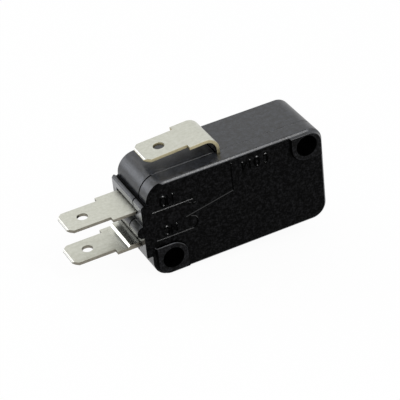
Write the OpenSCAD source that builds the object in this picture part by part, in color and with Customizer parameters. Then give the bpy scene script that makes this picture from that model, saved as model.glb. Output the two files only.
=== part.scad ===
// Snap-action switch with a pin plunger and three push-on tab terminals.
// The origin is the axis of the mounting hole beside the tabs, at mid thickness.
// X runs along the body away from the tabs, Y from the cover to the back, Z away from the plunger.

/* [Body] */
// Length of the body between its two ends
body_len = 27.8; // [27.4:0.1:29]
// Height of the body, plunger face to upper face
body_h = 15.4; // [15.2:0.1:16.4]
// Thickness over the mounting faces
body_t = 10.3; // [10.1:0.1:11.5]
// Wall thickness of the case and the cover
wall = 1.2; // [1:0.05:1.3]
// Depth of the cover, from its face to the seam
cover_depth = 2.7; // [2.5:0.1:3]
// Radius of the three plain corners
corner_r = 2.3; // [1.8:0.1:2.5]
// Radius of the corner above the tabs
shoulder_r = 2.9; // [2.6:0.1:3.1]
// Bevel around the cover's face
face_bevel = 0.3; // [0.1:0.05:0.4]

/* [Mounting holes] */
// Diameter of both mounting holes
hole_d = 3.1; // [2.9:0.05:3.3]
// Each hole's axis to its end of the body
hole_margin_x = 2.8; // [2.6:0.05:3]
// First hole's axis to the plunger face
hole_margin_z = 2.85; // [2.7:0.05:3]
// Second hole's axis to the upper face
hole_margin_top = 2.25; // [2.2:0.05:2.6]
// Radius of the pad round each hole
pad_r = 2.4; // [2.2:0.05:2.5]
// Height of the pads above the cover's face
pad_raise = 0.4; // [0.2:0.05:0.6]

/* [Terminal end] */
// How far the terminal block stands out from the end
block_proud = 1; // [0.6:0.1:1.4]
// Top of the block above the upper blade
block_over = 1.9; // [1.6:0.05:2]
// Bottom of the block below the lower blade
block_under = 1.25; // [1:0.05:1.5]
// Rounding of the block's upper edge
block_round = 0.45; // [0.2:0.05:0.6]
// Radius of the groove above the block
groove_r = 0.22; // [0.1:0.02:0.3]
// Radius of the barrier between the two blades
barrier_r = 0.95; // [0.7:0.05:1.1]
// How far the barrier stands out from the block
barrier_proud = 0.95; // [0.7:0.05:1]

/* [Tabs] */
// Thickness of the terminal strip
strip_t = 0.5; // [0.4:0.05:0.6]
// Width of the tabs
tab_w = 4.75; // [4.4:0.05:5]
// Length of the tabs, tip to shoulder
tab_len = 6.35; // [5.8:0.05:7]
// Width of the strip behind the shoulder
strip_w = 6.35; // [5.9:0.05:6.4]
// Width of the tab's tip
tip_w = 3.2; // [2.6:0.1:4]
// Length of the corners cut off at the tip
tip_corner = 0.8; // [0.4:0.1:1.2]
// Length of the coined bevel at the tip
coin_len = 0.35; // [0.25:0.05:0.8]
// Thickness left at the tip
coin_t = 0.2; // [0.1:0.05:0.3]
// Diameter of the tab's hole
tab_hole_d = 1.6; // [1.2:0.1:1.9]
// Tip to the tab's hole
tab_hole_in = 3.1; // [2.6:0.05:3.5]

/* [Terminal places] */
// Level of the upper blade above the first hole
no_level = 7.8; // [7.7:0.05:8.1]
// Level of the lower blade inside the case above the first hole
nc_level = 3.2; // [3.1:0.05:3.4]
// How far the lower tab drops below its blade
nc_drop = 0.9; // [0.8:0.05:1]
// Slope of the lower blade's joggle inside the case, in degrees
joggle_angle = 40; // [35:1:45]
// Bend radius of the joggle at the strip's middle
joggle_r = 0.55; // [0.5:0.05:0.65]
// Block face to the shoulders of both tabs
tab_reach = 3.5; // [3:0.1:4.5]
// How much thicker the lower blade is at its root than at its tab
root_step = 0.3; // [0.1:0.05:0.3]
// Length of that thicker root in front of the block
root_len = 1.5; // [1:0.05:1.7]
// Length of the slope from the tab up to the root
root_slope = 0.5; // [0.4:0.05:0.9]
// Middle of the common terminal's leg
com_x = 9.6; // [9.3:0.05:9.9]
// Height of the common tab above the upper face
com_rise = 2.5; // [2.2:0.05:3]
// Slope of the common tab down to its tip, in degrees
com_sag = 3; // [0:0.1:5]
// Length of the common strip between its bend and its shoulder
com_reach = 2.45; // [2:0.05:3.5]
// Bend radius of the common terminal at the strip's middle
com_bend_r = 1.75; // [1.2:0.05:2]
// Offset of the mechanism's middle plane towards the back
mid_y = 0.4; // [0.3:0.05:0.45]

/* [Contacts] */
// Contacts' middle along the body
contact_x = 1.6; // [1.4:0.1:2]
// Diameter of the contact heads
contact_d = 2.4; // [2:0.1:2.6]
// Height of each head of the moving contact
arm_contact_h = 0.6; // [0.5:0.05:0.65]
// Diameter of the rivet shanks
shank_d = 1.2; // [1:0.05:1.4]
// Air left between the closed contacts at rest
rest_gap = 0.06; // [0.04:0.01:0.1]
// Travel of the moving contact
contact_throw = 0.6; // [0.5:0.02:0.6]

/* [Snap mechanism] */
// Thickness of the contact arm
arm_t = 0.3; // [0.25:0.05:0.35]
// Width of the contact arm and of the lever's fork
arm_w = 4.8; // [4.6:0.1:4.9]
// Width of the two rails of the arm and the lever
rail_w = 1; // [0.8:0.05:1.05]
// Thickness of the actuating lever
lever_t = 0.4; // [0.3:0.05:0.5]
// Slope of the lever at rest, in degrees
lever_slope = 17.8; // [16:0.1:19]
// Lever's pivot to its spring hole
lever_hook = 4.25; // [4:0.05:4.5]
// Arm's pivot to its spring hole
arm_hook = 5.15; // [4.9:0.05:5.2]
// Outer diameter of the spring
spring_d = 2; // [1.8:0.05:2.1]
// Wire of the spring
wire_d = 0.3; // [0.25:0.01:0.32]
// Turns of the spring
spring_turns = 12; // [9:1:14]

/* [Plunger] */
// Plunger's axis from the far end of the body
plunger_in = 4.8; // [4.7:0.1:5.6]
// Diameter of the plunger's stem
plunger_d = 2.6; // [2.2:0.1:2.8]
// Full travel of the plunger
plunger_travel = 2.2; // [1.6:0.1:2.2]
// How far the plunger still stands out when pressed
plunger_left = 0.6; // [0.4:0.1:1]

/* [Hidden] */
$fn = 48;

// Clearances
slot_gap = 0.05;      // round the terminals in their slots
notch_gap = 0.1;      // round the blades in the cover's notches
guide_gap = 0.05;     // round the plunger, and round the cover's pins
pivot_gap = 0.05;     // round the rounded edges in their seats
nose_gap = 0.05;      // between the plunger's nose and the lever
rivet_gap = 0.02;     // round the rivet shanks

// Ends and faces of the body
end_x = -hole_margin_x;
far_x = end_x + body_len;
low_z = -hole_margin_z;
high_z = low_z + body_h;
back_y = body_t / 2;
pad_y = -body_t / 2;
face_y = pad_y + pad_raise;
seam_y = face_y + cover_depth;
floor_y = back_y - wall;
lid_y = face_y + wall;
hole_pitch_x = body_len - 2 * hole_margin_x;
hole_pitch_z = body_h - hole_margin_z - hole_margin_top;
holes = [[0, 0, -1], [hole_pitch_x, hole_pitch_z, 1]];

// Terminal block
block_x = end_x - block_proud;
nc_tab_level = nc_level - nc_drop;
tab_levels = [no_level, nc_tab_level];
block_top = no_level + block_over;
block_low = nc_tab_level - block_under;
barrier_lift = 0.45;  // barrier's middle above the middle of the blades
barrier_z = (no_level + nc_tab_level) / 2 + barrier_lift;

// Mouths of the slots, open above the blades
mouth_depth = 0.6;
mouth_over = 0.4;     // above the blade
mouth_sink = 0.1;     // below the blade's upper face
mouth_front = 0.65;   // in front of the blade

// Terminals inside the case
strip_front = mid_y - strip_w / 2;
strip_back = mid_y + strip_w / 2;
tab_tip_x = block_x - tab_reach - tab_len;
inner_w = 4;          // width of the blades inside the case
inner_past = 1.5;     // blades beyond the contacts' middle
inner_end = contact_x + inner_past;
lug_len = 0.7;        // lug on the strip's back edge that keeps it in the wall
lug_out = 0.45;
lug_in = wall / 2 - lug_len / 2;
arc_steps = 20;       // straight lengths in each bend
rib_w = 0.8;          // ribs that hold the common terminal's plate
rib_out = 0.95;

// Cover's pins and the posts that take them, one beyond the blades and one before the far hole
pin_d = 1.2;
pin_len = 1.6;
post_r = 1.1;
post_sink = 0.15;     // how far the posts sink into the upper wall
pin_room = 0.8;       // posts to the blades' ends and to the far hole's pad
pin_z = high_z - wall - post_r + post_sink;
pins = [for (x = [inner_end + pin_room + post_r, hole_pitch_x - pad_r - pin_room - post_r]) [x, pin_z]];

// Rivets
tail_d = 1.7;
tail_h = 0.3;
head_bevel = 0.2;

// Fixed contacts' heads fill what the arm, its contact and its travel leave between the blades
blade_gap = no_level - nc_level - strip_t;
arm_stack = arm_t + 2 * arm_contact_h;
contact_h = (blade_gap - arm_stack - contact_throw) / 2 - rest_gap;

// Contact arm, its pivot on the common terminal's near face
arm_z = nc_level + strip_t / 2 + contact_h + rest_gap + arm_contact_h + arm_t / 2;
arm_rise = 0.13;      // arm's pivot above the moving contact
arm_edge_r = 0.2;
arm_pivot = [com_x - strip_t / 2 - pivot_gap, arm_z + arm_rise];
arm_len = arm_pivot.x - contact_x;
arm_tilt = atan2(arm_rise, arm_len);
arm_swing = contact_throw / arm_len * 180 / PI;
arm_tip = 1.4;        // arm beyond the moving contact
arm_tip_w = 3;
hook_hole_d = 0.8;
hook_bar = 1;         // spring hole to the edge that the spring pulls on

// Upper fixed contact's head, lower by what the swung contact's edge rises
lift = arm_swing - arm_tilt;
lifted_z = (arm_len + contact_d / 2 - head_bevel) * sin(lift) + (arm_t / 2 + arm_contact_h) * cos(lift);
no_contact_h = no_level - strip_t / 2 - arm_pivot.y - lifted_z - rest_gap;

// Actuating lever, its pivot on the common terminal's far face
plunger_x = far_x - plunger_in;
lever_edge_r = 0.25;
pivot_rise = 0.95;    // lever's pivot above the arm's pivot
lever_pivot = [com_x + strip_t / 2 + pivot_gap, arm_pivot.y + pivot_rise];
lever_end_w = 3;
lever_past = 1.2;     // lever beyond the plunger's axis
lever_len = (plunger_x - lever_pivot.x) / cos(lever_slope) + lever_past;

// Common terminal's plate, forked round the spring
plate_under = 0.85;   // plate below the arm's pivot
plate_past = 0.2;     // plate in front of the arm's edge
plate_low = arm_pivot.y - plate_under;
plate_front = mid_y - arm_w / 2 - plate_past;
plate_back = floor_y - slot_gap;
spring_room = 0.3;    // each side of the spring in the fork
fork_gap = spring_d + 2 * spring_room;
fork_over = 0.9;      // fork above the lever's pivot
fork_top = lever_pivot.y + fork_over;

// Plunger
plunger_out = plunger_left + plunger_travel;
tip_r = 2.2;
nose_d = 2;
nose_r = nose_d / 2;
flange_d = 4;
flange_h = 0.8;
flange_z = low_z + wall + guide_gap;
lever_drop = (plunger_x - lever_pivot.x) * tan(lever_slope);
nose_z = lever_pivot.y - lever_drop - (lever_t / 2 + nose_gap + nose_r) / cos(lever_slope);

// Spring, from the arm's hole to the lever's hole
coil_r = (spring_d - wire_d) / 2;
spring_from = arm_pivot - arm_hook * [cos(arm_tilt), sin(arm_tilt)];
spring_to = lever_pivot + lever_hook * [cos(lever_slope), -sin(lever_slope)];
spring_len = norm(spring_to - spring_from);
spring_angle = atan2(spring_to.y - spring_from.y, spring_to.x - spring_from.x);
hook_tail = 0.45;     // wire past the hole
hook_run = 1.7;       // hole to the first turn
hook_r = 0.5;
hook_steps = 4;
turn_steps = 10;
wire_sides = 8;

plastic = "#26272b";
plunger_plastic = "#2b2b2e";
tin_plate = "#c9c7c0";
silver = "#dcdcda";
spring_bronze = "#b58a4a";
stainless = "#b9bcbf";

// Extrudes an outline drawn in X and Z from one Y to another
module slab(from_y, to_y) {
    translate([0, to_y, 0]) rotate([90, 0, 0]) linear_extrude(to_y - from_y) children();
}

// Centres and radii of the body's corners, from the plunger face's near end round
function corners() = [
    [end_x + corner_r, low_z + corner_r, corner_r],
    [far_x - corner_r, low_z + corner_r, corner_r],
    [far_x - corner_r, high_z - corner_r, corner_r],
    [end_x + shoulder_r, high_z - shoulder_r, shoulder_r]];

// Points where the corners' arcs meet the straight edges
function edge_points(inset) = [for (i = [0:3], k = [0, 1])
    let (c = corners()[i], r = c.z - inset, a = 180 + 90 * (i + k)) [c.x + r * cos(a), c.y + r * sin(a)]];

module body_outline(inset = 0) {
    polygon(edge_points(inset));
    for (c = corners()) translate([c.x, c.y]) circle(c.z - inset);
}

// Block that carries the two blades, rounded at its upper edge, with the barrier between the blades
module block_outline() {
    polygon([[end_x + wall, block_low], [block_x, block_low], [block_x, block_top - block_round],
        [block_x + block_round, block_top], [end_x + wall, block_top]]);
    translate([block_x + block_round, block_top - block_round]) circle(block_round);
    translate([block_x - barrier_proud + barrier_r, barrier_z]) circle(barrier_r);
}

module groove_outline() {
    translate([end_x - groove_r, block_top]) circle(groove_r);
}

module shell_outline() {
    difference() {
        union() {
            body_outline();
            block_outline();
        }
        groove_outline();
    }
}

// Corner that stays solid round a mounting hole, whose third value points out of the body
module corner_pad(hole) {
    translate([hole.x, hole.y]) {
        circle(pad_r);
        for (turn = [0, 1])
            mirror([turn, -turn]) translate([hole.z < 0 ? -body_len : 0, hole.z < 0 ? -body_len : -pad_r])
                square([body_len, body_len + pad_r]);
    }
}

module cavity_outline() {
    difference() {
        body_outline(wall);
        for (h = holes) corner_pad(h);
        for (p = pins) translate(p) {
            circle(post_r);
            translate([-post_r, 0]) square([2 * post_r, body_h]);
        }
    }
}

module mounting_bores() {
    for (h = holes) translate([h.x, 0, h.y]) rotate([90, 0, 0])
        cylinder(d = hole_d, h = 2 * body_t, center = true);
}

module pin_cylinders(gap, length) {
    for (p = pins) translate([p.x, seam_y - wall / 2, p.y]) rotate([-90, 0, 0])
        cylinder(d = pin_d + 2 * gap, h = length + wall / 2);
}

// Slot through the terminal block for a blade, with its lug's pocket
module blade_slot(level) {
    half = strip_t / 2 + slot_gap;
    translate([block_x - barrier_proud - 1, seam_y - 1, level - half])
        cube([end_x + wall + 2 - block_x + barrier_proud, strip_back + slot_gap - seam_y + 1, 2 * half]);
    translate([end_x + lug_in - slot_gap, 0, level - half])
        cube([lug_len + 2 * slot_gap, strip_back + lug_out + slot_gap, 2 * half]);
}

module blade_mouth(level) {
    front = strip_front - mouth_front;
    translate([block_x - barrier_proud - 1, front, level + strip_t / 2 - mouth_sink])
        cube([barrier_proud + 1 + mouth_depth, strip_back + slot_gap - front, mouth_over + mouth_sink]);
}

// Slot through the upper wall for the common terminal, with its lug's pocket
module com_slot() {
    half = strip_t / 2 + slot_gap;
    translate([com_x - half, strip_front - slot_gap, high_z - wall - 1])
        cube([2 * half, strip_w + 2 * slot_gap, wall + 2]);
    translate([com_x - half, 0, high_z - wall + lug_in - slot_gap])
        cube([2 * half, strip_back + lug_out + slot_gap, lug_len + 2 * slot_gap]);
}

module com_ribs() {
    off = strip_t / 2 + slot_gap;
    for (x = [com_x - off - rib_w, com_x + off]) translate([x, floor_y - rib_out, plate_low])
        cube([rib_w, rib_out + wall / 2, high_z - wall / 2 - plate_low]);
}

module case() {
    color(plastic) difference() {
        union() {
            difference() {
                slab(seam_y, back_y) shell_outline();
                slab(seam_y - 1, floor_y) cavity_outline();
            }
            com_ribs();
        }
        mounting_bores();
        pin_cylinders(guide_gap, pin_len + guide_gap);
        for (level = tab_levels) {
            blade_slot(level);
            blade_mouth(level);
        }
        com_slot();
        translate([plunger_x, mid_y, low_z - 1]) cylinder(d = plunger_d + 2 * guide_gap, h = wall + 2);
    }
}

// Bevelled front of the cover: a frustum between the arcs, with a cone at each corner
module bevelled_face() {
    wide = edge_points(0);
    narrow = edge_points(face_bevel);
    n = len(wide);
    polyhedron(
        points = concat([for (p = wide) [p.x, face_y + face_bevel, p.y]],
            [for (p = narrow) [p.x, face_y, p.y]]),
        faces = concat([[for (i = [0:n - 1]) i]], [[for (i = [n - 1:-1:0]) n + i]],
            [for (i = [0:n - 1]) let (j = (i + 1) % n) [i, n + i, n + j, j]]));
    for (c = corners()) translate([c.x, face_y + face_bevel, c.y]) rotate([90, 0, 0])
        cylinder(r1 = c.z, r2 = c.z - face_bevel, h = face_bevel);
}

module cover_notch(level) {
    half = strip_t / 2 + notch_gap;
    front = strip_front - notch_gap;
    translate([block_x - barrier_proud - 1, front, level - half])
        cube([end_x + wall + 2 - block_x + barrier_proud, seam_y + 1 - front, 2 * half]);
}

module cover() {
    color(plastic) difference() {
        union() {
            difference() {
                union() {
                    slab(face_y + face_bevel, seam_y) shell_outline();
                    slab(face_y, face_y + face_bevel) difference() {
                        block_outline();
                        groove_outline();
                    }
                    bevelled_face();
                }
                slab(lid_y, seam_y + 1) cavity_outline();
            }
            slab(pad_y, face_y + face_bevel) intersection() {
                body_outline(face_bevel);
                union() for (h = holes) corner_pad(h);
            }
            pin_cylinders(0, pin_len);
        }
        mounting_bores();
        for (level = tab_levels) {
            cover_notch(level);
            blade_mouth(level);
        }
        com_slot();
    }
}

module plunger() {
    color(plunger_plastic) translate([plunger_x, mid_y, 0]) {
        intersection() {
            translate([0, 0, low_z - plunger_out]) cylinder(d = plunger_d, h = plunger_out + wall + flange_h);
            translate([0, 0, low_z - plunger_out + tip_r]) union() {
                sphere(tip_r);
                cylinder(r = tip_r, h = plunger_out + wall + flange_h);
            }
        }
        translate([0, 0, flange_z]) cylinder(d = flange_d, h = flange_h);
        translate([0, 0, flange_z]) cylinder(d = nose_d, h = nose_z - flange_z);
        translate([0, 0, nose_z]) sphere(nose_r);
    }
}

// Points of an arc in X and Z
function arc(centre, radius, from_angle, to_angle) = [for (i = [0:arc_steps])
    let (a = from_angle + (to_angle - from_angle) * i / arc_steps) centre + radius * [cos(a), sin(a)]];

// Coined end of a strip's side outline, whose tip lies at a point and points down at a slope
function coined_tip(tip, slope = 0) = let (along = [cos(slope), sin(slope)], up = [-sin(slope), cos(slope)])
    [for (q = [[coin_len, strip_t], [0, coin_t], [0, -coin_t], [coin_len, -strip_t]])
        tip + q.x * along + q.y / 2 * up];

// What is cut from a blade to leave the tab: both sides up to the shoulder, the tip's corners and the hole
module tab_cut() {
    linear_extrude(4 * strip_t, center = true) {
        for (side = [0, 1]) mirror([0, side])
            polygon([[-tip_corner, tip_w - tab_w / 2], [tip_corner, tab_w / 2], [tab_len, tab_w / 2],
                [tab_len, strip_w], [-tip_corner, strip_w]]);
        translate([tab_hole_in, 0]) circle(d = tab_hole_d);
    }
}

// Strip with a side outline in X and Z that ends in a tab, whose tip lies at a point and slope
module tab_strip(outline, tip, slope = 0) {
    difference() {
        slab(strip_front, strip_back) polygon(outline);
        translate([tip.x, mid_y, tip.y]) rotate([0, -slope, 0]) tab_cut();
    }
}

module blade_lug(level) {
    translate([end_x + lug_in, mid_y, level - strip_t / 2]) cube([lug_len, strip_w / 2 + lug_out, strip_t]);
}

// Inner end of a blade, narrower than the strip in the wall, with its contact's hole
module blade_inside(start_x, level) {
    translate([0, mid_y, level]) linear_extrude(strip_t, center = true) difference() {
        translate([start_x, -inner_w / 2]) square([inner_end - start_x, inner_w]);
        translate([contact_x, 0]) circle(d = shank_d + 2 * rivet_gap);
    }
}

module no_terminal() {
    half = strip_t / 2;
    tip = [tab_tip_x, no_level];
    wall_end = end_x + wall;
    color(tin_plate) {
        tab_strip(concat([[wall_end, no_level + half]], coined_tip(tip), [[wall_end, no_level - half]]), tip);
        blade_lug(no_level);
        blade_inside(wall_end, no_level);
    }
}

// The strip is thicker in front of the block, and behind the wall it rises by two bends to its blade
module nc_terminal() {
    half = strip_t / 2;
    a = joggle_angle;
    straight = (nc_drop - 2 * joggle_r * (1 - cos(a))) / sin(a);
    lower = [end_x + wall + slot_gap, nc_tab_level + joggle_r];
    upper = lower + [2 * joggle_r * sin(a) + straight * cos(a), nc_drop - 2 * joggle_r];
    tip = [tab_tip_x, nc_tab_level];
    tab_top = nc_tab_level + half;
    root_end = block_x - slot_gap;
    root_start = block_x - root_len;
    color(tin_plate) {
        tab_strip(concat(arc(upper, joggle_r + half, 90, 90 + a), arc(lower, joggle_r - half, a - 90, -90),
            [[root_end, tab_top], [root_end, tab_top + root_step], [root_start, tab_top + root_step],
                [root_start - root_slope, tab_top]], coined_tip(tip),
            arc(lower, joggle_r + half, -90, a - 90), arc(upper, joggle_r - half, 90 + a, 90)), tip);
        blade_lug(nc_tab_level);
        blade_inside(upper.x, nc_level);
    }
}

module com_terminal() {
    half = strip_t / 2;
    leg_low = high_z - wall;
    bend = [com_x - com_bend_r, high_z + com_rise - com_bend_r];
    end = 90 + com_sag;
    tip = bend + com_bend_r * [cos(end), sin(end)] - (tab_len + com_reach) * [cos(com_sag), sin(com_sag)];
    color(tin_plate) {
        difference() {
            union() {
                translate([com_x - half, plate_front, plate_low])
                    cube([strip_t, plate_back - plate_front, leg_low - plate_low]);
                tab_strip(concat([[com_x + half, leg_low]], arc(bend, com_bend_r + half, 0, end),
                    coined_tip(tip, com_sag), arc(bend, com_bend_r - half, end, 0),
                    [[com_x - half, leg_low]]), tip, com_sag);
                translate([com_x - half, mid_y, leg_low + lug_in])
                    cube([strip_t, strip_w / 2 + lug_out, lug_len]);
            }
            translate([com_x - strip_t, mid_y - fork_gap / 2, plate_low - 1])
                cube([2 * strip_t, fork_gap, fork_top - plate_low + 1]);
            pivot_rod(arm_pivot, arm_edge_r + pivot_gap, body_t);
            pivot_rod(lever_pivot, lever_edge_r + pivot_gap, body_t);
        }
    }
}

// Round bar along Y at a pivot given in X and Z
module pivot_rod(pivot, radius, length) {
    translate([pivot.x, mid_y, pivot.y]) rotate([90, 0, 0]) cylinder(r = radius, h = length, center = true);
}

// Contact rivet along Z: the head stands on the strip's face at the origin, the shank and tail go down
module contact_rivet(head_h, through) {
    rotate_extrude() polygon([[0, head_h], [contact_d / 2 - head_bevel, head_h],
        [contact_d / 2, head_h - head_bevel], [contact_d / 2, 0], [shank_d / 2, 0], [shank_d / 2, -through],
        [tail_d / 2, -through], [tail_d / 2, -through - tail_h], [0, -through - tail_h]]);
}

module no_contact() {
    color(silver) translate([contact_x, mid_y, no_level - strip_t / 2]) mirror([0, 0, 1])
        contact_rivet(no_contact_h, strip_t);
}

module nc_contact() {
    color(silver) translate([contact_x, mid_y, nc_level + strip_t / 2]) contact_rivet(contact_h, strip_t);
}

// Places what is drawn along X, with its pivot at the origin, at a pivot and slope
module at_pivot(pivot, slope) {
    translate([pivot.x, mid_y, pivot.y]) rotate([0, slope, 0]) children();
}

// Two rails along +X from rounded edges at the origin
module rails(length, thickness, edge_r) {
    for (side = [-1, 1]) translate([0, side * (arm_w - rail_w) / 2, 0]) {
        translate([0, -rail_w / 2, -thickness / 2]) cube([length, rail_w, thickness]);
        rotate([90, 0, 0]) cylinder(r = edge_r, h = rail_w, center = true);
    }
}

module contact_arm() {
    crotch = arm_hook - hook_bar;
    tip = arm_len + arm_tip;
    color(spring_bronze) at_pivot(arm_pivot, -arm_tilt) mirror([1, 0, 0]) {
        rails(crotch, arm_t, arm_edge_r);
        linear_extrude(arm_t, center = true) difference() {
            polygon([[crotch, -arm_w / 2], [arm_hook, -arm_w / 2], [arm_len, -arm_tip_w / 2],
                [tip, -arm_tip_w / 2], [tip, arm_tip_w / 2], [arm_len, arm_tip_w / 2],
                [arm_hook, arm_w / 2], [crotch, arm_w / 2]]);
            translate([arm_hook, 0]) circle(d = hook_hole_d);
            translate([arm_len, 0]) circle(d = shank_d + 2 * rivet_gap);
        }
    }
}

module arm_contact() {
    head_top = arm_t / 2 + arm_contact_h;
    color(silver) at_pivot(arm_pivot, -arm_tilt) translate([-arm_len, 0, 0]) {
        for (side = [0, 1]) mirror([0, 0, side]) rotate_extrude()
            polygon([[0, arm_t / 2], [contact_d / 2, arm_t / 2], [contact_d / 2, head_top - head_bevel],
                [contact_d / 2 - head_bevel, head_top], [0, head_top]]);
        cylinder(d = shank_d, h = arm_t, center = true);
    }
}

module actuating_lever() {
    crotch = lever_hook - hook_bar;
    taper = lever_hook + hook_bar;
    color(stainless) at_pivot(lever_pivot, lever_slope) {
        rails(crotch, lever_t, lever_edge_r);
        linear_extrude(lever_t, center = true) difference() {
            polygon([[crotch, -arm_w / 2], [taper, -arm_w / 2], [taper + hook_bar, -lever_end_w / 2],
                [lever_len, -lever_end_w / 2], [lever_len, lever_end_w / 2],
                [taper + hook_bar, lever_end_w / 2], [taper, arm_w / 2], [crotch, arm_w / 2]]);
            translate([lever_hook, 0]) circle(d = hook_hole_d);
        }
    }
}

// Middle line of the spring's wire along +X: hook, turns, hook
function hook_points() = concat([[0, 0, -hook_tail], [0, 0, 0]],
    [for (i = [0:hook_steps]) let (a = 90 * i / hook_steps)
        [hook_r * (1 - cos(a)), 0, coil_r - hook_r + hook_r * sin(a)]]);
function turn_points() = let (n = spring_turns * turn_steps)
    [for (i = [0:n]) let (a = 360 * i / turn_steps)
        [hook_run + (spring_len - 2 * hook_run) * i / n, coil_r * sin(a), coil_r * cos(a)]];
function spring_points() = let (hook = hook_points(), n = len(hook))
    concat(hook, turn_points(), [for (i = [n - 1:-1:0]) [spring_len - hook[i].x, hook[i].y, hook[i].z]]);

function unit(v) = v / norm(v);
// Ring of points round the wire, square to its run, with its first point turned towards a side
function wire_ring(at, along, side) = let (u = unit(side - (side * along) * along), v = cross(along, u))
    [for (k = [0:wire_sides - 1]) let (a = 360 * k / wire_sides) at + wire_d / 2 * (cos(a) * u + sin(a) * v)];

// Tube along points; the rings keep one side towards the direction that the last ring had
function ring_sides(points, i = 0, side = [0, 1, 0]) = i == len(points) ? [] :
    let (along = run_at(points, i), next = unit(side - (side * along) * along))
    concat([next], ring_sides(points, i + 1, next));
function run_at(points, i) = unit(points[min(i + 1, len(points) - 1)] - points[max(i - 1, 0)]);

module wire_tube(points) {
    n = len(points);
    sides = ring_sides(points);
    m = wire_sides;
    polyhedron(
        points = [for (i = [0:n - 1]) each wire_ring(points[i], run_at(points, i), sides[i])],
        faces = concat([[for (k = [m - 1:-1:0]) k]], [[for (k = [0:m - 1]) (n - 1) * m + k]],
            [for (i = [0:n - 2], k = [0:m - 1]) let (j = (k + 1) % m)
                [i * m + k, i * m + j, (i + 1) * m + j, (i + 1) * m + k]]));
}

module tension_spring() {
    color(stainless) translate([spring_from.x, mid_y, spring_from.y]) rotate([0, -spring_angle, 0])
        wire_tube(spring_points());
}

case();
cover();
plunger();
com_terminal();
no_terminal();
nc_terminal();
no_contact();
nc_contact();
contact_arm();
arm_contact();
actuating_lever();
tension_spring();
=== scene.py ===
import bpy
import bmesh
import math
from mathutils import Matrix, Vector


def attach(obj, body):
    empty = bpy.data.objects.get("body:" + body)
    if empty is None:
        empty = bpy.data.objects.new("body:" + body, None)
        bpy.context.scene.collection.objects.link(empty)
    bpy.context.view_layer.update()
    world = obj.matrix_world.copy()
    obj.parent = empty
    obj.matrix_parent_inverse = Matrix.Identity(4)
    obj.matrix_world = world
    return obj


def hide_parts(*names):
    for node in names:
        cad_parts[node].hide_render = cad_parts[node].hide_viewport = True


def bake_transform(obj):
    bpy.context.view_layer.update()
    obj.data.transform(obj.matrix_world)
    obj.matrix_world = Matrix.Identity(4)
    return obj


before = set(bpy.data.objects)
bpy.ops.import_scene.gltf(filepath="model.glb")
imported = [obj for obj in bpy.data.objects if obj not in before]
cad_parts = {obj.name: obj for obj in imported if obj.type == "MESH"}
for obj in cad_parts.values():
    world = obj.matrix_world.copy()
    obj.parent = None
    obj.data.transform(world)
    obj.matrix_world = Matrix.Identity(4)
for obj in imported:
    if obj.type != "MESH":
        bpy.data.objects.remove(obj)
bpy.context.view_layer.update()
mm = 0.001
touch = 0.02  # places closer than this, in mm, count as one
slack = 0.05  # what lies this close to a plane, in mm, counts as on it


# sRGB hex to the linear colour that Blender works in
def hexColour(text):
    parts = [int(text[i:i + 2], 16) / 255 for i in (1, 3, 5)]
    return [c / 12.92 if c <= 0.04045 else ((c + 0.055) / 1.055) ** 2.4 for c in parts] + [1.0]


# One node with its settings, fixed inputs and links; a Mix node's colours are its inputs 6 and 7 and its output 2
def addNode(tree, kind, values=None, links=None, **settings):
    node = tree.nodes.new(kind)
    for key, value in settings.items():
        setattr(node, key, value)
    for socket, value in (values or {}).items():
        node.inputs[socket].default_value = value
    for socket, source in (links or {}).items():
        tree.links.new(source, node.inputs[socket])
    return node


def newMaterial(name):
    made = bpy.data.materials.new(name)
    made.use_nodes = True
    made.node_tree.nodes.clear()
    return made, made.node_tree


# Empty geometry tree with named inputs, and the sockets that give them
def newTree(name, inputs):
    tree = bpy.data.node_groups.new(name, "GeometryNodeTree")
    tree.interface.new_socket("Geometry", in_out="INPUT", socket_type="NodeSocketGeometry")
    for label, kind in inputs.items():
        tree.interface.new_socket(label, in_out="INPUT", socket_type=kind)
    tree.interface.new_socket("Geometry", in_out="OUTPUT", socket_type="NodeSocketGeometry")
    return tree, addNode(tree, "NodeGroupInput").outputs


def linkMesh(name, mesh):
    piece = bpy.data.objects.new(name, mesh)
    bpy.context.scene.collection.objects.link(piece)
    return piece


# Plain mesh of a piece with its modifiers worked in
def bakeModifiers(piece):
    depsgraph = bpy.context.evaluated_depsgraph_get()
    mesh = bpy.data.meshes.new_from_object(piece.evaluated_get(depsgraph))
    piece.modifiers.clear()
    piece.data = mesh
    mesh.name = piece.name
    return piece


# Materials

# Nearly all values of a noise texture lie in this span, round this mean
noiseSpan = (0.3, 0.7)
noiseMean = 0.5

# Black glass-filled polyester off a polished tool: deep blue black, satin, faint flow mottling
caseLook = {"black": "#08090a", "haze": "#33363c", "roughness": (0.3, 0.42), "specular": 0.6, "mottle": 0.7,
            "grain": 0.24, "grainDepth": 0.012, "spread": (0.16, 0.42)}
# The two broad faces come off spark-eroded plates: matt and dull, with a pebble grain, drawn coarser than life so that
# it shows. Their black is darker than the case's and almost without specular: painted shade, as if dark surroundings
# faced them
faceLook = {"black": "#030303", "haze": "#1b1b1c", "roughness": (0.45, 0.65), "specular": 0.02, "mottle": 0.6,
            "grain": 0.26, "grainDepth": 0.05, "spread": (0.2, 0.42)}
# The pads stand proud, so that handling has rubbed their faces a little greyer
padLook = {"black": "#060606", "haze": "#242426", "roughness": (0.4, 0.55), "specular": 0.04, "mottle": 0.6,
           "grain": 0.26, "grainDepth": 0.03, "spread": (0.2, 0.42)}
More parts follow.
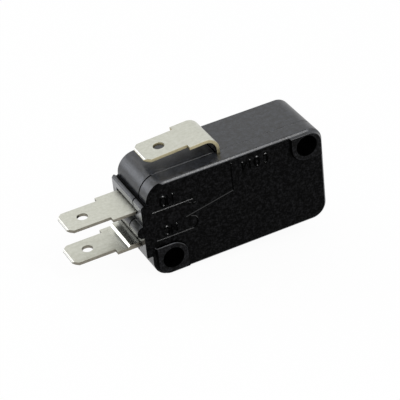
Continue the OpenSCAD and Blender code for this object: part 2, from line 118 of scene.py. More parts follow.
# Dead black that paints shade on the raised marks' crests and on their flanks that don't face up, in the bores and on
# the pads' lower flanks; the marks' flanks that face up take a glossy lit copy of the same black, which glints under
# the lamps
shadeBlackLook = {"black": "#000000", "haze": "#040404", "roughness": (0.5, 0.7), "specular": 0.01, "mottle": 0.6,
            "grain": 0.2, "grainDepth": 0.02, "spread": (0.2, 0.42)}
markLook = {"black": "#040404", "haze": "#0c0c0d", "roughness": (0.12, 0.18), "specular": 0.42, "mottle": 0.6,
            "grain": 0.12, "grainDepth": 0.004, "spread": (0.12, 0.4)}
# The letters' lit copy has a lower specular than the diagram's, so that their highlights are dimmer
letterLook = dict(markLook, specular=0.26)
# The edges of cover and pads that face up take a smoother lit copy of the satin, so that they draw bright highlight
# lines
litEdgeLook = dict(caseLook, roughness=(0.27, 0.37), specular=0.62)
# The end of the terminal block comes off a polished slide of the tool: glossy, so that it mirrors the tin below it.
# Above the upper tab its colour turns to a grey of painted light, from one z to another
blockLook = {"black": "#0e0f10", "haze": "#242527", "roughness": (0.12, 0.18), "specular": 1.0, "mottle": 0.6,
             "grain": 0.12, "grainDepth": 0.004, "spread": (0.12, 0.4), "paintedLight": (7.6, 8.3, "#616266")}
# The plunger is a plain smooth moulding, a little greyer and glossier than the case
plungerLook = {"black": "#18181a", "haze": "#222224", "roughness": (0.26, 0.36), "specular": 0.5, "mottle": 1.2,
               "grain": 0.1, "grainDepth": 0.004, "spread": (0.12, 0.4)}


def mouldedPlastic(name, look):
    made, tree = newMaterial(name)
    place = addNode(tree, "ShaderNodeTexCoord")
    mottle = addNode(tree, "ShaderNodeTexNoise", {"Scale": 1 / (look["mottle"] * mm), "Detail": 3.0,
                     "Roughness": 0.6}, {"Vector": place.outputs["Object"]})
    grain = addNode(tree, "ShaderNodeTexNoise", {"Scale": 1 / (look["grain"] * mm), "Detail": 2.0,
                    "Roughness": 0.55}, {"Vector": place.outputs["Object"]})
    cloudy = addNode(tree, "ShaderNodeMath", None, {0: mottle.outputs["Fac"], 1: grain.outputs["Fac"]},
                     operation="MULTIPLY")
    share = addNode(tree, "ShaderNodeMapRange", {"From Min": look["spread"][0], "From Max": look["spread"][1]},
                    {"Value": cloudy.outputs[0]})
    colour = addNode(tree, "ShaderNodeMix", {6: hexColour(look["black"]), 7: hexColour(look["haze"])},
                     {0: share.outputs["Result"]}, data_type="RGBA")
    # Painted light: from one z to another the colour turns to a lighter grey
    if "paintedLight" in look:
        low, high, grey = look["paintedLight"]
        height = addNode(tree, "ShaderNodeSeparateXYZ", None, {"Vector": place.outputs["Object"]})
        share = addNode(tree, "ShaderNodeMapRange", {"From Min": low * mm, "From Max": high * mm},
                        {"Value": height.outputs["Z"]})
        colour = addNode(tree, "ShaderNodeMix", {7: hexColour(grey)},
                         {0: share.outputs["Result"], 6: colour.outputs[2]}, data_type="RGBA")
    rough = addNode(tree, "ShaderNodeMapRange", {"From Min": noiseSpan[0], "From Max": noiseSpan[1],
                    "To Min": look["roughness"][0], "To Max": look["roughness"][1]}, {"Value": grain.outputs["Fac"]})
    bump = addNode(tree, "ShaderNodeBump", {"Strength": 1.0, "Distance": look["grainDepth"] * mm},
                   {"Height": grain.outputs["Fac"]})
    shader = addNode(tree, "ShaderNodeBsdfPrincipled", {"IOR": 1.5, "Specular IOR Level": look["specular"]},
                     {"Base Color": colour.outputs[2], "Roughness": rough.outputs["Result"],
                      "Normal": bump.outputs["Normal"]})
    addNode(tree, "ShaderNodeOutputMaterial", None, {"Surface": shader.outputs["BSDF"]})
    return made


# Matt tin plate on brass strip: pale warm grey, soft gloss, rolling lines along the strip, drawn coarser than life
# so that they show
tinLook = {"pale": "#d8d9d0", "dull": "#b4b4a6", "roughness": (0.34, 0.52), "cloud": 0.45, "line": 0.2,
           "lineDepth": 0.01}
# The lower tab's plate, burnished towards its root by the forming punch: from one x to another, to a roughness, and
# matt again past a third x, where the punch stopped short of the case
formedLook = dict(tinLook, burnish=(-6.4, -6.15, 0.2, -4.2))
# The same plate at the coined tips: bright, with drag lines
burnishedLook = {"pale": "#cfcfca", "dull": "#b4b3ac", "roughness": (0.08, 0.16), "cloud": 0.6, "line": 0.06,
                 "lineDepth": 0.002}
# The bent terminal's underside and the inside of its bend: burnished, and darkened as painted shade
shadedUndersideLook = {"pale": "#62615c", "dull": "#454440", "roughness": (0.1, 0.18), "cloud": 0.6, "line": 0.06,
               "lineDepth": 0.002}
# Sheared edges of the strip, where the blanking tool leaves bare brass in streaks
edgeLook = {"pale": "#c9c1a2", "dull": "#9a906f", "roughness": (0.34, 0.5), "cloud": 0.3, "line": 0.1,
            "lineDepth": 0.01}
# On the two straight tabs the tin runs thin over those edges, so that they are darker and greyer than the faces
tinnedEdgeLook = {"pale": "#9a968a", "dull": "#625e54", "roughness": (0.3, 0.44), "cloud": 0.3, "line": 0.1,
                  "lineDepth": 0.008}
# Fine silver of the contact rivets: white metal, satin from tumbling
silverLook = {"pale": "#e4e3df", "dull": "#c9c8c3", "roughness": (0.22, 0.32), "cloud": 0.5, "line": 0.2,
              "lineDepth": 0.003}
# Rolled phosphor bronze of the arm: reddish yellow, satin with rolling lines
bronzeLook = {"pale": "#c69a5c", "dull": "#a87c42", "roughness": (0.24, 0.36), "cloud": 0.8, "line": 0.06,
              "lineDepth": 0.003}
# Stainless strip and wire: cool grey, drawn bright
stainlessLook = {"pale": "#c2c4c6", "dull": "#a3a5a8", "roughness": (0.18, 0.28), "cloud": 0.6, "line": 0.05,
                 "lineDepth": 0.002}
# Rolling lines run along x, where their noise is drawn at this share of its scale
lineShare = 0.06


def rolledMetal(name, look):
    made, tree = newMaterial(name)
    place = addNode(tree, "ShaderNodeTexCoord")
    cloud = addNode(tree, "ShaderNodeTexNoise", {"Scale": 1 / (look["cloud"] * mm), "Detail": 3.0,
                    "Roughness": 0.6}, {"Vector": place.outputs["Object"]})
    stretch = addNode(tree, "ShaderNodeMapping", {"Scale": (lineShare, 1.0, 1.0)},
                      {"Vector": place.outputs["Object"]})
    lines = addNode(tree, "ShaderNodeTexNoise", {"Scale": 1 / (look["line"] * mm), "Detail": 1.0,
                    "Roughness": 0.5}, {"Vector": stretch.outputs["Vector"]})
    colour = addNode(tree, "ShaderNodeMix", {6: hexColour(look["dull"]), 7: hexColour(look["pale"])},
                     {0: cloud.outputs["Fac"]}, data_type="RGBA")
    rough = addNode(tree, "ShaderNodeMapRange", {"From Min": noiseSpan[0], "From Max": noiseSpan[1],
                    "To Min": look["roughness"][0], "To Max": look["roughness"][1]}, {"Value": lines.outputs["Fac"]})
    if "burnish" in look:
        begin, full, smooth, end = look["burnish"]
        place = addNode(tree, "ShaderNodeSeparateXYZ", None, {"Vector": place.outputs["Object"]})
        begun = addNode(tree, "ShaderNodeMapRange", {"From Min": begin * mm, "From Max": full * mm},
                        {"Value": place.outputs["X"]})
        short = addNode(tree, "ShaderNodeMath", {1: end * mm}, {0: place.outputs["X"]}, operation="LESS_THAN")
        share = addNode(tree, "ShaderNodeMath", None, {0: begun.outputs["Result"], 1: short.outputs[0]},
                        operation="MULTIPLY")
        rough = addNode(tree, "ShaderNodeMapRange", {"To Max": smooth},
                        {"Value": share.outputs[0], "To Min": rough.outputs["Result"]})
        lines = addNode(tree, "ShaderNodeMapRange", {"To Max": noiseMean},
                        {"Value": share.outputs[0], "To Min": lines.outputs["Fac"]})
    bump = addNode(tree, "ShaderNodeBump", {"Strength": 1.0, "Distance": look["lineDepth"] * mm},
                   {"Height": lines.outputs[0]})
    shader = addNode(tree, "ShaderNodeBsdfPrincipled", {"Metallic": 1.0},
                     {"Base Color": colour.outputs[2], "Roughness": rough.outputs["Result"],
                      "Normal": bump.outputs["Normal"]})
    addNode(tree, "ShaderNodeOutputMaterial", None, {"Surface": shader.outputs["BSDF"]})
    return made


casePlastic = mouldedPlastic("caseSatinPolyester", caseLook)
facePlastic = mouldedPlastic("coverSparkAndShadePolyester", faceLook)
padPlastic = mouldedPlastic("padRubbedPolyester", padLook)
shadeBlackPlastic = mouldedPlastic("paintedShadeBlackPolyester", shadeBlackLook)
markPlastic = mouldedPlastic("markLitGlossPolyester", markLook)
letterPlastic = mouldedPlastic("letterLitGlossPolyester", letterLook)
litEdgePlastic = mouldedPlastic("edgeLitSatinPolyester", litEdgeLook)
blockPlastic = mouldedPlastic("blockPolishedPolyester", blockLook)
plungerPlastic = mouldedPlastic("plungerSmoothPolyester", plungerLook)
tinPlate = rolledMetal("stripMattTinPlate", tinLook)
formedTin = rolledMetal("stripFormedTinPlate", formedLook)
burnishedTin = rolledMetal("stripBurnishedTinPlate", burnishedLook)
shadedUndersideTin = rolledMetal("stripShadedUndersideTinPlate", shadedUndersideLook)
bareBrass = rolledMetal("stripShearedBrass", edgeLook)
tinnedEdge = rolledMetal("stripTinnedEdge", tinnedEdgeLook)
contactSilver = rolledMetal("contactTumbledSilver", silverLook)
armBronze = rolledMetal("armRolledBronze", bronzeLook)
drawnStainless = rolledMetal("drawnStainless", stainlessLook)
print("materials made")

# Body shells

bodySizes = {"endX": -2.8, "farX": 25.0, "lowZ": -2.85, "highZ": 12.55, "cornerR": 2.3, "shoulderR": 2.9,
             "blockX": -3.8, "blockTop": 9.7, "blockRoot": 0.35, "holes": ((0.0, 0.0), (22.2, 10.3)), "holeR": 1.55,
             "faceY": -4.75, "padY": -5.15, "seamY": -2.05, "backY": 5.15, "grooveX": -3.02, "grooveR": 0.24,
             "faceBevel": 0.3, "shadeX": -0.15, "shadeRun": 0.5, "padDraft": 0.12}
# Widths of the bevelled edges; one deeper inside the outline than "hidden" stays sharp, save round the case's holes
# within "backRun" of its back
edgeSizes = {"seam": 0.13, "back": 0.25, "case": 0.08, "cover": 0.1, "hidden": 0.9, "backRun": 0.5}
# What tells a fold from the facets of an arc: angles in degrees, and in mm how far a broad face reaches from the edge
foldPlan = {"sharp": 25, "slight": 5, "reach": 0.6, "flat": 1.0, "merge": 0.002}
holeSlack = 0.1  # the facets of a hole's wall lie this close to its radius
rimNormal = (-0.9, -0.5)  # a face of the bevel round the front has a normal with y between these


# How deep a place lies inside the body's rounded outline, in mm; less than nothing outside it
def depthInside(x, z):
    s = bodySizes
    right, left, low, high = s["farX"] - x, x - s["endX"], z - s["lowZ"], s["highZ"] - z
    for a, b, r in ((left, low, s["cornerR"]), (right, low, s["cornerR"]), (right, high, s["cornerR"]),
                    (left, high, s["shoulderR"])):
        if a < r and b < r:
            return r - math.hypot(r - a, r - b)
    return min(right, left, low, high)


def nearHole(x, z):
    return any(math.hypot(x - h[0], z - h[1]) < bodySizes["holeR"] + holeSlack for h in bodySizes["holes"])


# A fold between two broad faces, or any sharp corner; the narrow facets of an arc don't count
def isFold(edge):
    if len(edge.link_faces) != 2:
        return False
    angle = edge.calc_face_angle(0)
    if angle > math.radians(foldPlan["sharp"]):
        return True
    start, along = edge.verts[0].co, (edge.verts[1].co - edge.verts[0].co).normalized()
    reach = [max((v.co - start - (v.co - start).dot(along) * along).length for v in f.verts) for f in edge.link_faces]
    return angle > math.radians(foldPlan["slight"]) and min(reach) > foldPlan["reach"] * mm


def stayPut(x, y, z):
    return Vector((0, 0, 0))


# Copy of a CAD node with its triangles merged into plain faces and its folds bevelled, each by its own width; slide
# gives how far a corner of it moves, and cut is a plane that splits the bevel round the front
def bevelledCopy(name, node, widthOf, widest, segments, slide=stayPut, cut=None):
    bm = bmesh.new()
    bm.from_mesh(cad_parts[node].data)
    bmesh.ops.remove_doubles(bm, verts=bm.verts, dist=foldPlan["merge"] * mm)
    for vert in bm.verts:
        vert.co += slide(*(vert.co / mm)) * mm
    bmesh.ops.dissolve_limit(bm, angle_limit=math.radians(foldPlan["flat"]), verts=bm.verts, edges=bm.edges)
    if cut:
        rim = [f for f in bm.faces if rimNormal[0] < f.normal.y < rimNormal[1]]
        edges = list(dict.fromkeys(e for f in rim for e in f.edges))
        verts = list(dict.fromkeys(v for f in rim for v in f.verts))
        bmesh.ops.bisect_plane(bm, geom=rim + edges + verts, dist=foldPlan["merge"] * mm, plane_co=cut[0],
                               plane_no=cut[1])
    weight = bm.edges.layers.float.new("bevel_weight_edge")
    for face in bm.faces:
        face.smooth = True
    for edge in bm.edges:
        if isFold(edge):
            middle = (edge.verts[0].co + edge.verts[1].co) / (2 * mm)
            edge[weight] = widthOf(*middle) / widest
            edge.smooth = edge[weight] > 0
    mesh = bpy.data.meshes.new(name)
    bm.to_mesh(mesh)
    bm.free()
    piece = linkMesh(name, mesh)
    bevel = piece.modifiers.new("edges", "BEVEL")
    bevel.limit_method = "WEIGHT"
    bevel.width = widest * mm
    bevel.segments = segments
    bevel.use_clamp_overlap = False
    piece.modifiers.new("shading", "WEIGHTED_NORMAL").keep_sharp = True
    return bakeModifiers(piece)


def caseEdge(x, y, z):
    nearBack = y >= bodySizes["backY"] - edgeSizes["backRun"]
    if depthInside(x, z) > edgeSizes["hidden"] and not (nearBack and nearHole(x, z)):
        return 0.0
    if abs(y - bodySizes["seamY"]) < touch:
        return edgeSizes["seam"]
    return edgeSizes["back"] if y > bodySizes["backY"] - touch else edgeSizes["case"]


def coverEdge(x, y, z):
    if y > bodySizes["faceY"] + edgeSizes["hidden"] and depthInside(x, z) > edgeSizes["hidden"]:
        return 0.0
    if abs(z - bodySizes["blockTop"]) < touch and 0 < x - bodySizes["endX"] < bodySizes["blockRoot"]:
        return 0.0  # where the block's top runs into the body
    return edgeSizes["seam"] if abs(y - bodySizes["seamY"]) < touch else edgeSizes["cover"]


# The pads' outer flanks draw in towards the front, so that no pad stands out past the body's outline
def padSlide(x, y, z):
    if y > bodySizes["padY"] + touch or depthInside(x, z) > bodySizes["faceBevel"] + slack:
        return Vector((0, 0, 0))
    step = touch / 2
    inwards = Vector((depthInside(x + step, z) - depthInside(x - step, z), 0,
                      depthInside(x, z + step) - depthInside(x, z - step)))
    return inwards.normalized() * bodySizes["padDraft"]


caseShell = bevelledCopy("caseShell", "case", caseEdge, edgeSizes["back"], segments=3)
# The matt black painted as shade on the front's rim ends on this slanting plane: a place on it and its normal
shadeEnd = (Vector((bodySizes["shadeX"], bodySizes["faceY"], 0)) * mm,
           Vector((bodySizes["faceBevel"], bodySizes["shadeRun"], 0)))
coverShell = bevelledCopy("coverShell", "cover", coverEdge, edgeSizes["seam"], segments=3, slide=padSlide,
                          cut=shadeEnd)
shellLooks = (casePlastic, facePlastic, blockPlastic, padPlastic, shadeBlackPlastic, litEdgePlastic)
# How the shells' faces are told apart: shares of their normals, and lengths in mm
sortPlan = {"flat": 0.97, "end": 0.9, "upper": 0.15, "seam": 0.1, "edge": 0.05, "proud": 0.001, "padFoot": 0.11,
            "padDepth": 0.5, "padEnd": 0.7, "edgeRun": 0.4, "grooveRun": (-0.3, 0.06)}


# Front and back are matt; the groove over the block and the rim and seam at the terminals' end take the same matt
# black as painted shade. The block's end is polished, the pads are rubbed, the edges that face up take a lit copy of
# the satin for painted highlight lines, and the pads' lower flanks and the mounting holes take the dead black of
# painted shade
def shellLook(face):
    b, s, normal = bodySizes, sortPlan, face.normal
    x, y, z = face.center / mm
    broad = abs(normal.y) > s["flat"] and (y < b["faceY"] + slack or y > b["backY"] - slack)
    padFace = broad and y < b["padY"] + slack
    # The pads' lower flanks and the bores take the dead black of painted shade
    padSide = (y < b["faceY"] - s["proud"] and x < b["farX"] - s["padEnd"] and
               (normal.z < s["upper"] or y > b["padY"] + s["padFoot"] and depthInside(x, z) > s["padDepth"]))
    bore = nearHole(x, z) and not broad
    groove = (abs(x - b["grooveX"]) < b["grooveR"] and
              s["grooveRun"][0] < z - b["blockTop"] < s["grooveRun"][1])
    seam = (abs(y - b["seamY"]) < edgeSizes["seam"] and abs(normal.y) > s["seam"] and
            x < b["shadeX"] - b["shadeRun"])
    edge = y < b["faceY"] + s["edgeRun"] and normal.y < -s["edge"]
    rim = edge and y > b["faceY"] - touch and (face.center - shadeEnd[0]).dot(shadeEnd[1]) < 0
    # Edges that face up take the smoother lit copy of the satin, for painted highlight lines
    litUp = edge and normal.z > s["upper"]
    blockEnd = normal.x < -s["end"] and x < b["blockX"] + slack
    # The groove, the rim on the arc's side and the seam take the matt black as painted shade
    matt = broad or groove or rim or seam
    return (shadeBlackPlastic if bore else padPlastic if padFace else facePlastic if matt else shadeBlackPlastic if padSide
            else blockPlastic if blockEnd else litEdgePlastic if litUp else casePlastic)


for shell in (caseShell, coverShell):
    for material in shellLooks:
        shell.data.materials.append(material)
    for face in shell.data.polygons:
        face.material_index = shellLooks.index(shellLook(face))
print("body shells made")

# Terminals

# The step at the lower tab's root is short and steep: its foot, between two places along x, goes a little inwards.
# The tips were pressed bright over their coined length. Past bendX the bent terminal stands upright
terminalSizes = {"edge": 0.05, "rootRun": 0.4, "coined": 0.36, "bendX": 7.7, "stepFrom": -5.95, "stepTo": -5.65,
                 "stepRun": 0.2}
# Sheared edges face front and back on an upright stretch and lie across z on a flat one; an underside faces down or
# towards the tips: shares of a face's normal
stripPlan = {"upright": 0.7, "flat": 0.5, "under": -0.2}


# Only what stands out of the case is bevelled
def tabEdge(x, y, z):
    run = terminalSizes["rootRun"]
    return terminalSizes["edge"] if x < bodySizes["blockX"] + run or z > bodySizes["highZ"] - run else 0.0


def stepSlide(x, y, z):
    foot = terminalSizes["stepFrom"] < x < terminalSizes["stepTo"]
    return Vector((terminalSizes["stepRun"] if foot else 0, 0, 0))


# A bent terminal has an upright stretch, and an underside darkened as painted shade
def stampedTerminal(name, node, plate, edge, slide=stayPut, bent=False):
    piece = bevelledCopy(name, node, tabEdge, terminalSizes["edge"], segments=2, slide=slide)
    tipX = min(v.co.x for v in piece.data.vertices) / mm
    looks = (plate, edge, burnishedTin, shadedUndersideTin)
    for material in looks:
        piece.data.materials.append(material)
    for face in piece.data.polygons:
        x, normal = face.center.x / mm, face.normal
        upright = bent and x > terminalSizes["bendX"]
        sheared = abs(normal.y) > stripPlan["upright"] if upright else abs(normal.z) < stripPlan["flat"]
        coined = x < tipX + terminalSizes["coined"]
        # Painted shade on the bent terminal's faces that point down or towards the tips
        shadedUnder = bent and min(normal.x, normal.z) < stripPlan["under"]
        face.material_index = looks.index(edge if sheared else burnishedTin if coined else shadedUndersideTin if shadedUnder
                                          else plate)
    return piece


tabNo = stampedTerminal("tabNo", "no_terminal", tinPlate, tinnedEdge)
tabNc = stampedTerminal("tabNc", "nc_terminal", formedTin, tinnedEdge, stepSlide)
tabCom = stampedTerminal("tabCom", "com_terminal", tinPlate, bareBrass, bent=True)
print("terminals made")

# Plunger and snap mechanism

innerEdge = 0.05  # width of their bevelled edges


def innerCopy(name, node, material):
    piece = bevelledCopy(name, node, lambda x, y, z: innerEdge, innerEdge, segments=2)
    piece.data.materials.append(material)
    return piece


plungerPin = innerCopy("plungerPin", "plunger", plungerPlastic)
contactNo = innerCopy("contactNo", "no_contact", contactSilver)
contactNc = innerCopy("contactNc", "nc_contact", contactSilver)
contactMoving = innerCopy("contactMoving", "arm_contact", contactSilver)
armBlade = innerCopy("armBlade", "contact_arm", armBronze)
leverBlade = innerCopy("leverBlade", "actuating_lever", drawnStainless)
print("plunger and blades made")

# Tension spring from the arm's hole to the lever's, in two halves that meet in the middle

springPlan = {"fromX": 4.151, "fromZ": 5.243, "toX": 13.947, "toZ": 4.981, "midY": 0.4, "coil": 0.85, "wire": 0.3,
              "turns": 12, "hookTail": 0.45, "hookRun": 1.7, "hookBend": 0.5, "stepsPerTurn": 18, "bendSteps": 6,
              "wireSides": 10}
springRun = Vector((springPlan["toX"] - springPlan["fromX"], 0, springPlan["toZ"] - springPlan["fromZ"]))
springLength = springRun.length


# A place on the spring in the frame, in metres, from how far it lies along, across and above the line of the hooks
def onSpring(along, across, above):
    ahead = springRun.normalized()
    start = Vector((springPlan["fromX"], springPlan["midY"], springPlan["fromZ"]))
    return (start + along * ahead + Vector((0, across, 0)) + above * Vector((-ahead.z, 0, ahead.x))) * mm


# Middle line of one half's wire, from the tail of its hook to the middle of the spring
def halfSpring():
    p = springPlan
    steps = p["turns"] * p["stepsPerTurn"] // 2
    path = [(0, 0, -p["hookTail"]), (0, 0, 0)]
    for i in range(p["bendSteps"] + 1):
        a = math.pi / 2 * i / p["bendSteps"]
        path.append((p["hookBend"] * (1 - math.cos(a)), 0, p["coil"] - p["hookBend"] * (1 - math.sin(a))))
    for i in range(steps + 1):
        a = math.tau * i / p["stepsPerTurn"]
        along = p["hookRun"] + (springLength / 2 - p["hookRun"]) * i / steps
        path.append((along, p["coil"] * math.sin(a), p["coil"] * math.cos(a)))
    return path


def wireTree():
    tree, given = newTree("roundWire", {"Radius": "NodeSocketFloat", "Sides": "NodeSocketInt",
                                        "Material": "NodeSocketMaterial"})
    curve = addNode(tree, "GeometryNodeMeshToCurve", None, {"Mesh": given["Geometry"]})
    outline = addNode(tree, "GeometryNodeCurvePrimitiveCircle", None, {"Radius": given["Radius"],
                      "Resolution": given["Sides"]})
    swept = addNode(tree, "GeometryNodeCurveToMesh", {"Fill Caps": True}, {"Curve": curve.outputs["Curve"],
                    "Profile Curve": outline.outputs["Curve"]})
    real = addNode(tree, "GeometryNodeRealizeInstances", None, {"Geometry": swept.outputs["Mesh"]})
    dressed = addNode(tree, "GeometryNodeSetMaterial", None, {"Geometry": real.outputs["Geometry"],
                      "Material": given["Material"]})
    addNode(tree, "NodeGroupOutput", None, {"Geometry": dressed.outputs["Geometry"]})
    return tree


# Mesh of lines through the paths, turned to a solid by a node tree with its inputs set by their identifiers
def sweptPiece(name, points, lines, tree, values, tapers=()):
    mesh = bpy.data.meshes.new(name)
    mesh.from_pydata(points, lines, [])
    if tapers:
        mesh.attributes.new("taper", "FLOAT", "POINT").data.foreach_set("value", tapers)
    piece = linkMesh(name, mesh)
    modifier = piece.modifiers.new("sweep", "NODES")
    modifier.node_group = tree
    for item in tree.interface.items_tree:
        if item.in_out == "INPUT" and item.name in values:
            modifier[item.identifier] = values[item.name]
    return bakeModifiers(piece)


def springHalf(name, path, tree):
    points = [onSpring(*place) for place in path]
    lines = [(i, i + 1) for i in range(len(points) - 1)]
    return sweptPiece(name, points, lines, tree, {"Radius": springPlan["wire"] / 2 * mm,
                                                  "Sides": springPlan["wireSides"], "Material": drawnStainless})


roundWire = wireTree()
springArm = springHalf("springArm", halfSpring(), roundWire)
springLever = springHalf("springLever", [(springLength - x, -y, z) for x, y, z in halfSpring()], roundWire)
print("spring made", len(springArm.data.polygons) + len(springLever.data.polygons), "faces")

# Raised marks on the cover's face: the circuit diagram and the three contact letters, seen upside down

diagramSizes = {"Width": 0.3, "Top": 0.04, "Height": 0.08, "Sink": 0.03}
letterSizes = {"Width": 0.42, "Top": 0.14, "Height": 0.108, "Sink": 0.03}
# A stroke's open end runs on by so many heights of the mark, down to this share of its section
strokeEnd = {"run": 1.05, "share": 0.03}
# A flank takes the lit gloss where its normal's z and this share of its x come to more than the least
litFlankPlan = {"share": 0.5, "least": 0.25}
arcStep = 18  # degrees from point to point of a round letter
diagramPaths = [
    [(-2.2, 8.18), (4.05, 8.18)], [(-2.05, 3.36), (3.7, 3.36)],
    [(3.55, 5.46), (4.15, 5.25), (4.42, 4.86), (4.46, 4.45), (4.3, 3.93), (3.9, 3.54)],
    [(2.75, 5.61), (10.38, 7.15)], [(10.38, 7.15), (10.38, 11.7)],
]
# The two contacts beside the upper line
contactPaths = [[(3.36, 7.76), (3.7, 7.58)], [(4.12, 7.42), (4.5, 7.5)]]
# Each word's lower and upper edge on the face, and where each letter's right and left side lie
words = {"NO": (8.72, 10.24, (1.1, 0.3), (0.06, -0.8)), "NC": (3.88, 5.2, (1.2, 0.42), (0.04, -0.74)),
         "COM": (9.76, 11.18, (16.08, 15.46), (14.76, 14.06), (13.3, 12.1))}


# Arc of a circle in a unit square, between two angles in degrees
def arcPath(first, last):
    turns = [math.radians(a) for a in range(first, last + 1, arcStep)]
    return [(0.5 + 0.5 * math.cos(a), 0.5 + 0.5 * math.sin(a)) for a in turns]


letterPaths = {"N": [(0, 0), (0, 1), (1, 0), (1, 1)], "O": arcPath(9, 369), "C": arcPath(45, 315),
               "M": [(0, 0), (0, 1), (0.5, 0.2), (1, 1), (1, 0)]}


# The letters stand on their heads, so a word runs from its right end to its left
def wordPaths(word, lower, upper, *sides):
    return [[(right - u * (right - left), upper - v * (upper - lower)) for u, v in letterPaths[letter]]
            for letter, (right, left) in zip(word, sides)]


def markTree():
    tree, given = newTree("raisedMarks", {
        **dict.fromkeys(("Width", "Top", "Height", "Sink", "Face"), "NodeSocketFloat"),
        **dict.fromkeys(("PaintedShade", "LitGloss"), "NodeSocketMaterial")})
    curve = addNode(tree, "GeometryNodeMeshToCurve", None, {"Mesh": given["Geometry"]})
    upright = addNode(tree, "GeometryNodeSetCurveNormal", None, {"Curve": curve.outputs["Curve"]}, mode="Z_UP")
    rise = addNode(tree, "ShaderNodeMath", None, {0: given["Height"], 1: given["Sink"]}, operation="ADD")
    middle = addNode(tree, "ShaderNodeMath", None, {0: given["Height"], 1: given["Sink"]}, operation="SUBTRACT")
    half = addNode(tree, "ShaderNodeMath", {1: -0.5}, {0: middle.outputs[0]}, operation="MULTIPLY")
    outline = addNode(tree, "GeometryNodeCurvePrimitiveQuadrilateral", {"Offset": 0.0}, {"Height": rise.outputs[0],
                      "Bottom Width": given["Top"], "Top Width": given["Width"]}, mode="TRAPEZOID")
    lift = addNode(tree, "ShaderNodeCombineXYZ", None, {"Y": half.outputs[0]})
    raised = addNode(tree, "GeometryNodeTransform", None, {"Geometry": outline.outputs["Curve"],
                     "Translation": lift.outputs["Vector"]})
    taper = addNode(tree, "GeometryNodeInputNamedAttribute", {"Name": "taper"}, data_type="FLOAT")
    swept = addNode(tree, "GeometryNodeCurveToMesh", {"Fill Caps": True}, {"Curve": upright.outputs["Curve"],
                    "Profile Curve": raised.outputs["Geometry"], "Scale": taper.outputs["Attribute"]})
    shift = addNode(tree, "ShaderNodeCombineXYZ", None, {"Y": given["Face"]})
    stood = addNode(tree, "GeometryNodeTransform", {"Rotation": (math.pi / 2, 0, 0)},
                    {"Geometry": swept.outputs["Mesh"], "Translation": shift.outputs["Vector"]})
    real = addNode(tree, "GeometryNodeRealizeInstances", None, {"Geometry": stood.outputs["Geometry"]})
    creased = addNode(tree, "GeometryNodeSetShadeSmooth", {"Shade Smooth": False},
                      {"Geometry": real.outputs["Geometry"]})
    facing = addNode(tree, "GeometryNodeInputNormal")
    parts = addNode(tree, "ShaderNodeSeparateXYZ", None, {"Vector": facing.outputs["Normal"]})
    lean = addNode(tree, "ShaderNodeMath", {1: litFlankPlan["share"]}, {0: parts.outputs["X"], 2: parts.outputs["Z"]},
                   operation="MULTIPLY_ADD")
    upper = addNode(tree, "ShaderNodeMath", {1: litFlankPlan["least"]}, {0: lean.outputs[0]}, operation="GREATER_THAN")
    # Painted shade: every face of a mark takes the dead black, then the flanks that face up take the lit copy
    shadeSet = addNode(tree, "GeometryNodeSetMaterial", None, {"Geometry": creased.outputs["Geometry"],
                   "Material": given["PaintedShade"]})
    litUp = addNode(tree, "GeometryNodeSetMaterial", None, {"Geometry": shadeSet.outputs["Geometry"],
                     "Selection": upper.outputs[0], "Material": given["LitGloss"]})
    addNode(tree, "NodeGroupOutput", None, {"Geometry": litUp.outputs["Geometry"]})
    return tree


marksTree = markTree()


# A path that ends where it starts becomes a closed ring; any other runs on at both ends, where it slopes to the face
def makeMarks(name, paths, sizes, litUp):
    points, lines, tapers = [], [], []
    run, tip = strokeEnd["run"] * sizes["Height"], strokeEnd["share"]
    for path in paths:
        start = len(points)
        path = [Vector((u, v, 0)) for u, v in path]
        ring = (path[0] - path[-1]).length < touch
        if ring:
            path = path[:-1]
        else:
            path = [path[0] + (path[0] - path[1]).normalized() * run, *path,
                    path[-1] + (path[-1] - path[-2]).normalized() * run]
        points += [place * mm for place in path]
        lines += [(i, i + 1) for i in range(start, len(points) - 1)] + ([(len(points) - 1, start)] if ring else [])
        tapers += [1.0] * len(path) if ring else [tip] + [1.0] * (len(path) - 2) + [tip]
    values = {label: size * mm for label, size in sizes.items()}
    values.update({"Face": bodySizes["faceY"] * mm, "PaintedShade": shadeBlackPlastic, "LitGloss": litUp})
    return sweptPiece(name, points, lines, marksTree, values, tapers)


raisedDiagram = makeMarks("raisedDiagram", diagramPaths, diagramSizes, markPlastic)
smallPaths = contactPaths + [path for word, place in words.items() for path in wordPaths(word, *place)]
raisedLetters = makeMarks("raisedLetters", smallPaths, letterSizes, letterPlastic)
print("marks made", len(raisedDiagram.data.polygons) + len(raisedLetters.data.polygons), "faces")

# Riding and replacing

for piece, body, slot, node in (
        (caseShell, "housing", "case_plastic", "case"), (coverShell, "housing", "case_plastic", "cover"),
        (raisedDiagram, "housing", "case_plastic", None), (raisedLetters, "housing", "case_plastic", None),
        (tabNo, "housing", "plated_strip", "no_terminal"),
        (tabNc, "housing", "plated_strip", "nc_terminal"), (tabCom, "housing", "plated_strip", "com_terminal"),
        (contactNo, "housing", "contact_metal", "no_contact"), (contactNc, "housing", "contact_metal", "nc_contact"),
        (plungerPin, "plunger", "plunger_plastic", "plunger"), (armBlade, "arm", "arm_bronze", "contact_arm"),
        (contactMoving, "arm", "contact_metal", "arm_contact"), (leverBlade, "lever", "stainless", "actuating_lever")):
    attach(piece, body)
    if node:
        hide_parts(node)
for half, body, along in ((springArm, "arm", springPlan["hookRun"]),
                          (springLever, "lever", springLength - springPlan["hookRun"])):
    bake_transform(half)
    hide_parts("tension_spring")
print("pieces ride on their bodies")

# Stage, light and camera

# The floor is the plane that the switch stood on: it touches the plunger's tip and the near lower corner. To the
# camera and in mirrorings it glows by this share, so that it shows white
floorPlan = {"point": (-0.81, 0.0, -2.83), "slope": 7.7, "size": 1200, "white": "#f4f4f2", "glow": 0.95}
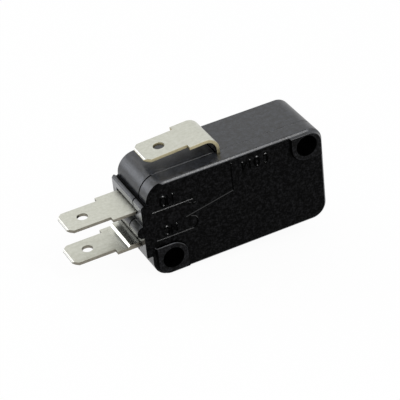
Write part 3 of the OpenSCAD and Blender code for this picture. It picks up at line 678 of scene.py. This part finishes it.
# What lights the scene from all round; the camera and mirrorings see plain white instead
worldPlan = {"colour": "#fbfcff", "strength": 0.85}
cameraPlan = {"lens": 162.2, "sensor": 36, "azimuth": 23.172, "elevation": 34.554, "roll": -6.62, "distance": 250.8,
              "target": (5.125, -4.75, 7.557), "nearest": 10, "farthest": 10000}
# Sheets of soft light: the body's arc mirrors the first, its front edges the second, the lower tab's root the third
lampPlan = {
    "leftSheet": {"place": (-160, 205, 105), "size": 140, "brightness": 2.6, "colour": "#f2f6ff"},
    "frontSheet": {"place": (100, -170, 230), "size": 60, "brightness": 16.0, "colour": "#ffffff"},
    "backStrip": {"place": (-22, 212, 181), "size": 60, "brightness": 1.4, "colour": "#ffffff"},
}
lampAim = (8, 0, 5)


# 1 for what the camera sees straight or mirrored, 0 for what only lights the scene
def seenShare(tree):
    rays = addNode(tree, "ShaderNodeLightPath")
    seen = addNode(tree, "ShaderNodeMath", None, {0: rays.outputs["Is Camera Ray"],
                   1: rays.outputs["Is Glossy Ray"]}, operation="MAXIMUM")
    return seen.outputs[0]


def makeFloor():
    half = floorPlan["size"] / 2 * mm
    mesh = bpy.data.meshes.new("floor")
    mesh.from_pydata([(-half, -half, 0), (half, -half, 0), (half, half, 0), (-half, half, 0)], [], [(0, 1, 2, 3)])
    slope = Matrix.Rotation(math.radians(floorPlan["slope"]), 4, "Y")
    mesh.transform(Matrix.Translation(Vector(floorPlan["point"]) * mm) @ slope)
    floor = linkMesh("floor", mesh)
    made, tree = newMaterial("floorPaper")
    share = addNode(tree, "ShaderNodeMath", {1: floorPlan["glow"]}, {0: seenShare(tree)}, operation="MULTIPLY")
    paper = addNode(tree, "ShaderNodeBsdfDiffuse", {"Color": hexColour(floorPlan["white"])})
    glow = addNode(tree, "ShaderNodeEmission", {"Color": hexColour("#ffffff"), "Strength": 1.0})
    mixed = addNode(tree, "ShaderNodeMixShader", None, {0: share.outputs[0], 1: paper.outputs[0],
                    2: glow.outputs[0]})
    addNode(tree, "ShaderNodeOutputMaterial", None, {"Surface": mixed.outputs[0]})
    mesh.materials.append(made)


def makeWorld():
    world = bpy.data.worlds.new("studio")
    bpy.context.scene.world = world
    world.use_nodes = True
    tree = world.node_tree
    tree.nodes.clear()
    soft = addNode(tree, "ShaderNodeBackground", {"Color": hexColour(worldPlan["colour"]),
                   "Strength": worldPlan["strength"]})
    white = addNode(tree, "ShaderNodeBackground", {"Color": hexColour("#ffffff"), "Strength": 1.0})
    mixed = addNode(tree, "ShaderNodeMixShader", None, {0: seenShare(tree), 1: soft.outputs[0],
                    2: white.outputs[0]})
    addNode(tree, "ShaderNodeOutputWorld", None, {"Surface": mixed.outputs[0]})


def makeLamps():
    aim = Vector(lampAim) * mm
    for name, plan in lampPlan.items():
        lamp = bpy.data.lights.new(name, "AREA")
        lamp.size = plan["size"] * mm
        lamp.energy = plan["brightness"] * math.pi * lamp.size ** 2
        lamp.color = hexColour(plan["colour"])[:3]
        holder = bpy.data.objects.new(name, lamp)
        bpy.context.scene.collection.objects.link(holder)
        holder.location = Vector(plan["place"]) * mm
        holder.rotation_euler = (aim - holder.location).to_track_quat("-Z", "Y").to_euler()


def makeCamera():
    plan = cameraPlan
    a, e = math.radians(plan["azimuth"]), math.radians(plan["elevation"])
    ahead = Vector((math.sin(a) * math.cos(e), math.cos(a) * math.cos(e), -math.sin(e)))
    camera = bpy.data.objects.new("camera", bpy.data.cameras.new("camera"))
    bpy.context.scene.collection.objects.link(camera)
    camera.data.lens = plan["lens"]
    camera.data.sensor_width = plan["sensor"]
    camera.data.clip_start, camera.data.clip_end = plan["nearest"] * mm, plan["farthest"] * mm
    camera.rotation_mode = "QUATERNION"
    camera.location = Vector(plan["target"]) * mm - ahead * plan["distance"] * mm
    level = ahead.to_track_quat("-Z", "Y").to_matrix()
    camera.rotation_quaternion = (level @ Matrix.Rotation(math.radians(plan["roll"]), 3, "Z")).to_quaternion()
    bpy.context.scene.camera = camera


makeFloor()
makeWorld()
makeLamps()
makeCamera()
bpy.context.scene.view_settings.view_transform = "Standard"
print("stage, light and camera made")
